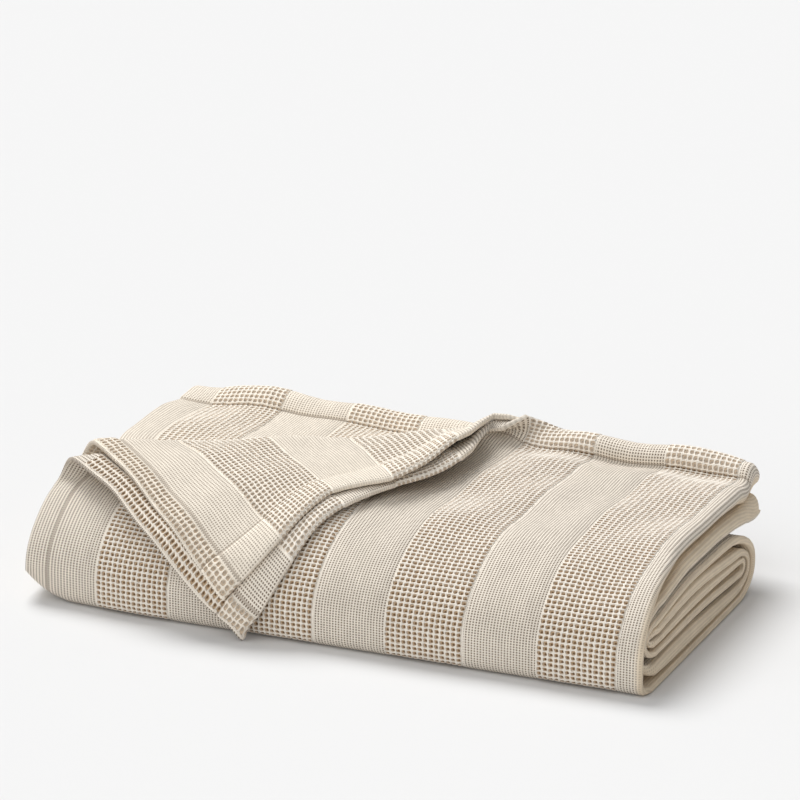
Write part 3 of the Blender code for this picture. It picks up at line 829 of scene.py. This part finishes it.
def lay(name, tree, points, values):
    """Runs the tree on a cloud of flat points and returns the finished plain mesh object."""
    mesh = bpy.data.meshes.new(name)
    mesh.from_pydata([tuple(p) for p in points], [], [])
    obj = add_object(name, mesh)
    mod = obj.modifiers.new("lay on cloth", "NODES")
    mod.node_group = tree
    for item in tree.interface.items_tree:
        if item.name in values:
            mod[item.identifier] = values[item.name]
    obj.update_tag()
    bpy.context.view_layer.update()
    make_plain(obj)
    bpy.data.meshes.remove(mesh)
    return obj


def hole_shape(sizes):
    """One hole of the open weave with half a thread round it, flat and in steps: a ring from the
    threads' crests down through the hole and out again underneath."""
    high = sizes.thread_height / CELL
    hole = 0.5 * sizes.hole_share
    corners = 8
    # half width, how square, height, share of the slant; the first ring is the threads' crests
    rings = ((0.500, 1.0, 0.85, 0.0), (hole + 0.05, SQUARE, 0.80, 1.0), (hole, SQUARE, 0.10, 1.0),
             (0.500, 1.0, -0.40, 0.0))
    crowns = (-0.12, 0.18, 0.06, 0.18)  # the crests rise and fall round the hole
    bm = bmesh.new()
    loops = []
    for ring, (half, square, height, turn) in enumerate(rings):
        loop = []
        for k in range(corners):
            angle = math.pi / 4 * k
            x, y = math.cos(angle), math.sin(angle)
            reach = half * (square / max(abs(x), abs(y)) + 1 - square)
            crown = crowns[k % 4] if ring == 0 else 0.0
            x, y = x * reach, y * reach
            a = sizes.slant * turn
            x, y = x * math.cos(a) - y * math.sin(a), x * math.sin(a) + y * math.cos(a)
            loop.append(bm.verts.new((x * HOLE_U, y * HOLE_V, (height + crown) * high)))
        loops.append(loop)
    for a, b in zip(loops, loops[1:]):
        for k in range(corners):
            m = (k + 1) % corners
            bm.faces.new((a[k], a[m], b[m], b[k]))
    mesh = bpy.data.meshes.new("hole")
    bm.to_mesh(mesh)
    bm.free()
    return add_object("hole", mesh)


def fold_limit(x, ply, more):
    """The v at which the ply starts to turn over, or the hem's edge where it doesn't."""
    return DEPTH if x > TURNED_BY else min(DEPTH, float(turn_depth(x, ply)) + more)


def before_fold(s):
    return fold_limit(s + EDGE_X, "inner", 2.5)


def past_fold(s):
    return fold_limit(s + EDGE_X, "outer", 0.0)


def under_fold(s):
    return fold_limit(C_EDGE - s, "inner", -3.0)


# Pieces of raised open weave: ply, side of the cloth, stripes, v from and to, and the v from
# which the side hem has its holes too. A limit is a number or changes with s.
RAISED = {
    "open_weave_left": ("A", 1, (0, 1), FRONT_FROM, before_fold, None),
    "open_weave_right": ("A", 1, (2, 3), FRONT_FROM, before_fold, None),
    "open_weave_flap": ("B", 1, (0, 1, 2), past_fold, DEPTH, past_fold),
    "open_weave_under": ("A", -1, (0, 1), UNDER_FROM, DEPTH, SIDE_FROM),
    "open_weave_behind": ("A", 1, (0, 1, 2, 3), *BEHIND, None),
    "open_weave_back": ("C", 1, (5, 6, 7), under_fold, DEPTH, None),
}


def open_cells(ply, first, columns, low, high):
    """Middles of the holes in the columns after s = first, where v is within the limits."""
    cells = []
    for i in range(columns):
        s = first + (i + 0.5) * HOLE_U
        u = s if ply == "A" else WIDTH_U - s
        lo, hi = (limit(s) if callable(limit) else limit for limit in (low, high))
        for j in range(int((FIRST_HOLES - lo) / HOLE_V) + 1):
            v = FIRST_HOLES - (j + 0.5) * HOLE_V
            if lo <= v <= hi:
                cells.append((u, v + UV_SHIFT, 0.0))
    return cells


def shade_smooth(obj):
    obj.data.polygons.foreach_set("use_smooth", [True] * len(obj.data.polygons))


def finish_piece(obj):
    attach(obj, "root")


# -------- operators

class BLANKET_OT_fold_cloth(bpy.types.Operator):
    """Fold the whole cloth, four plies across and eight runs along, with its corner turned over"""
    bl_idname = "blanket.fold_cloth"
    bl_label = "Fold the cloth"

    def execute(self, context):
        sizes, colours = context.scene.blanket_sizes, context.scene.blanket_colours
        points, us, vs, half = cloth_grid(sizes)
        rows, cols = us.shape
        metres = ((points - np.array((X_MIDDLE, Y_MIDDLE, 0.0))) * CELL).reshape(-1, 3)
        index = np.arange(rows * cols).reshape(rows, cols)
        quads = np.stack((index[:-1, :-1], index[1:, :-1], index[1:, 1:], index[:-1, 1:]), -1)
        quads = quads.reshape(-1, 4)
        mesh = bpy.data.meshes.new("cloth_middle")
        mesh.from_pydata(metres.tolist(), [], quads.tolist())
        uv = mesh.uv_layers.new(name="UVMap")
        flat = np.stack(np.broadcast_arrays(us, vs[:, None] + UV_SHIFT), -1) / UV_STEPS
        flat = flat.reshape(-1, 2)
        uv.data.foreach_set("uv", flat[quads.reshape(-1)].ravel())
        thick = mesh.attributes.new("half", "FLOAT", "POINT")
        thick.data.foreach_set("value", (half * CELL).astype(np.float32).ravel())
        middle = add_object("cloth_middle", mesh)
        middle.hide_render = True
        shade_smooth(middle)
        cloth = add_object("cotton_cloth", mesh.copy())
        group = cloth.vertex_groups.new(name="thickness")
        most = float(half.max())
        for i, value in enumerate((half / most).ravel()):
            group.add([i], float(value), "REPLACE")
        shell = cloth.modifiers.new("shell", "SOLIDIFY")
        shell.thickness = 2 * most * CELL
        shell.offset = 0.0
        shell.vertex_group = group.name
        shell.thickness_vertex_group = 0.0
        shell.use_even_offset = False
        shell.use_quality_normals = True
        make_plain(cloth)
        shade_smooth(cloth)
        cloth.data.materials.append(cotton("cotton_cloth", colours, sizes, weave_group(), 1.0))
        finish_piece(cloth)
        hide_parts("blanket")
        return {"FINISHED"}


class BLANKET_OT_raise_weave(bpy.types.Operator):
    """Raise the threads and holes of the open weave where they show"""
    bl_idname = "blanket.raise_weave"
    bl_label = "Raise the open weave"

    def execute(self, context):
        sizes, colours = context.scene.blanket_sizes, context.scene.blanket_colours
        middle = bpy.data.objects.get("cloth_middle")
        if middle is None:
            raise RuntimeError("fold the cloth first")
        hole = hole_shape(sizes)
        tree = lay_tree("Lay weave on cloth")
        mat = cotton("open_weave", colours, sizes, bpy.data.node_groups["Striped weave"], 0.0)
        for name, (ply, side, stripes, low, high, side_low) in RAISED.items():
            points = []
            for k in stripes:
                points += open_cells(ply, stripe_edges(k)[0] + OPEN_BORDER, OPEN_COLUMNS, low, high)
            if side_low is not None:
                points += open_cells(ply, SIDE_START, SIDE_COLUMNS, side_low, high)
            obj = lay(name, tree, points, {
                "Shape": hole, "Cloth": middle, "Side": float(side), "Sink": 0.13,
                "Wander": sizes.wander / CELL * 2, "Weld": 0.02, "Step": CELL, "Material": mat})
            if not len(obj.data.polygons):
                raise RuntimeError(name + " came out empty")
            finish_piece(obj)
        bpy.data.objects.remove(hole)
        return {"FINISHED"}


class BLANKET_OT_set_stage(bpy.types.Operator):
    """Pale floor, soft light from the back left and from the front, and the camera"""
    bl_idname = "blanket.set_stage"
    bl_label = "Set the stage"

    def execute(self, context):
        scene, colours = context.scene, context.scene.blanket_colours
        bpy.ops.mesh.primitive_plane_add(size=60, location=(0, 0, 0))
        floor = context.object
        floor.name = "floor"
        mat, n, shader = new_material("floor")
        n.fill(shader, {"Base Color": (*colours.floor, 1.0), "Roughness": 1.0, "Specular IOR Level": 0.0})
        floor.data.materials.append(mat)
        world = bpy.data.worlds.new("studio")
        scene.world = world
        world.use_nodes = True
        Nodes(world.node_tree).fill(world.node_tree.nodes["Background"], {0: (1, 1, 1, 1), 1: 0.34})
        # name, strength, width of the source, height over the floor, way the light travels
        for name, power, width, height, way in (("key", 2.52, 30, 54, (0.71, -0.70)),
                                                ("fill", 1.12, 80, 38, (0.38, 0.925))):
            data = bpy.data.lights.new(name, "SUN")
            data.energy = power
            data.angle = math.radians(width)
            lamp = add_object(name, data)
            flat = math.cos(math.radians(height))
            beam = Vector((way[0] * flat, way[1] * flat, -math.sin(math.radians(height))))
            lamp.rotation_euler = beam.to_track_quat("-Z", "Y").to_euler()
        data = bpy.data.cameras.new("camera")
        data.lens = 172.4
        data.sensor_width = 36.0
        data.clip_end = 200
        camera = add_object("camera", data)
        camera.location = (1.25112, -2.87101, 1.17041)
        camera.rotation_euler = (math.radians(72.2813), 0, math.radians(23.4976))
        scene.camera = camera
        scene.view_settings.view_transform = "Standard"
        scene.view_settings.look = "None"
        return {"FINISHED"}


class BLANKET_PT_panel(bpy.types.Panel):
    bl_idname = "BLANKET_PT_panel"
    bl_label = "Folded blanket"
    bl_space_type = "VIEW_3D"
    bl_region_type = "UI"
    bl_category = "Blanket"

    def draw(self, context):
        layout = self.layout
        for group in (context.scene.blanket_sizes, context.scene.blanket_colours):
            box = layout.box()
            for name in group.__annotations__:
                box.prop(group, name)
        for operator in OPERATORS:
            layout.operator(operator.bl_idname)


OPERATORS = (BLANKET_OT_fold_cloth, BLANKET_OT_raise_weave, BLANKET_OT_set_stage)
CLASSES = (BlanketSizes, BlanketColours) + OPERATORS + (BLANKET_PT_panel,)


def register():
    for cls in CLASSES:
        bpy.utils.register_class(cls)
    bpy.types.Scene.blanket_sizes = bpy.props.PointerProperty(type=BlanketSizes)
    bpy.types.Scene.blanket_colours = bpy.props.PointerProperty(type=BlanketColours)


def unregister():
    del bpy.types.Scene.blanket_colours
    del bpy.types.Scene.blanket_sizes
    for cls in reversed(CLASSES):
        bpy.utils.unregister_class(cls)


def main():
    register()
    bpy.ops.blanket.fold_cloth()
    bpy.ops.blanket.raise_weave()
    bpy.ops.blanket.set_stage()
    bpy.data.objects.remove(bpy.data.objects["cloth_middle"])
    length = DEPTH - float(Band().v[-1])


if __name__ == "__main__":
    main()
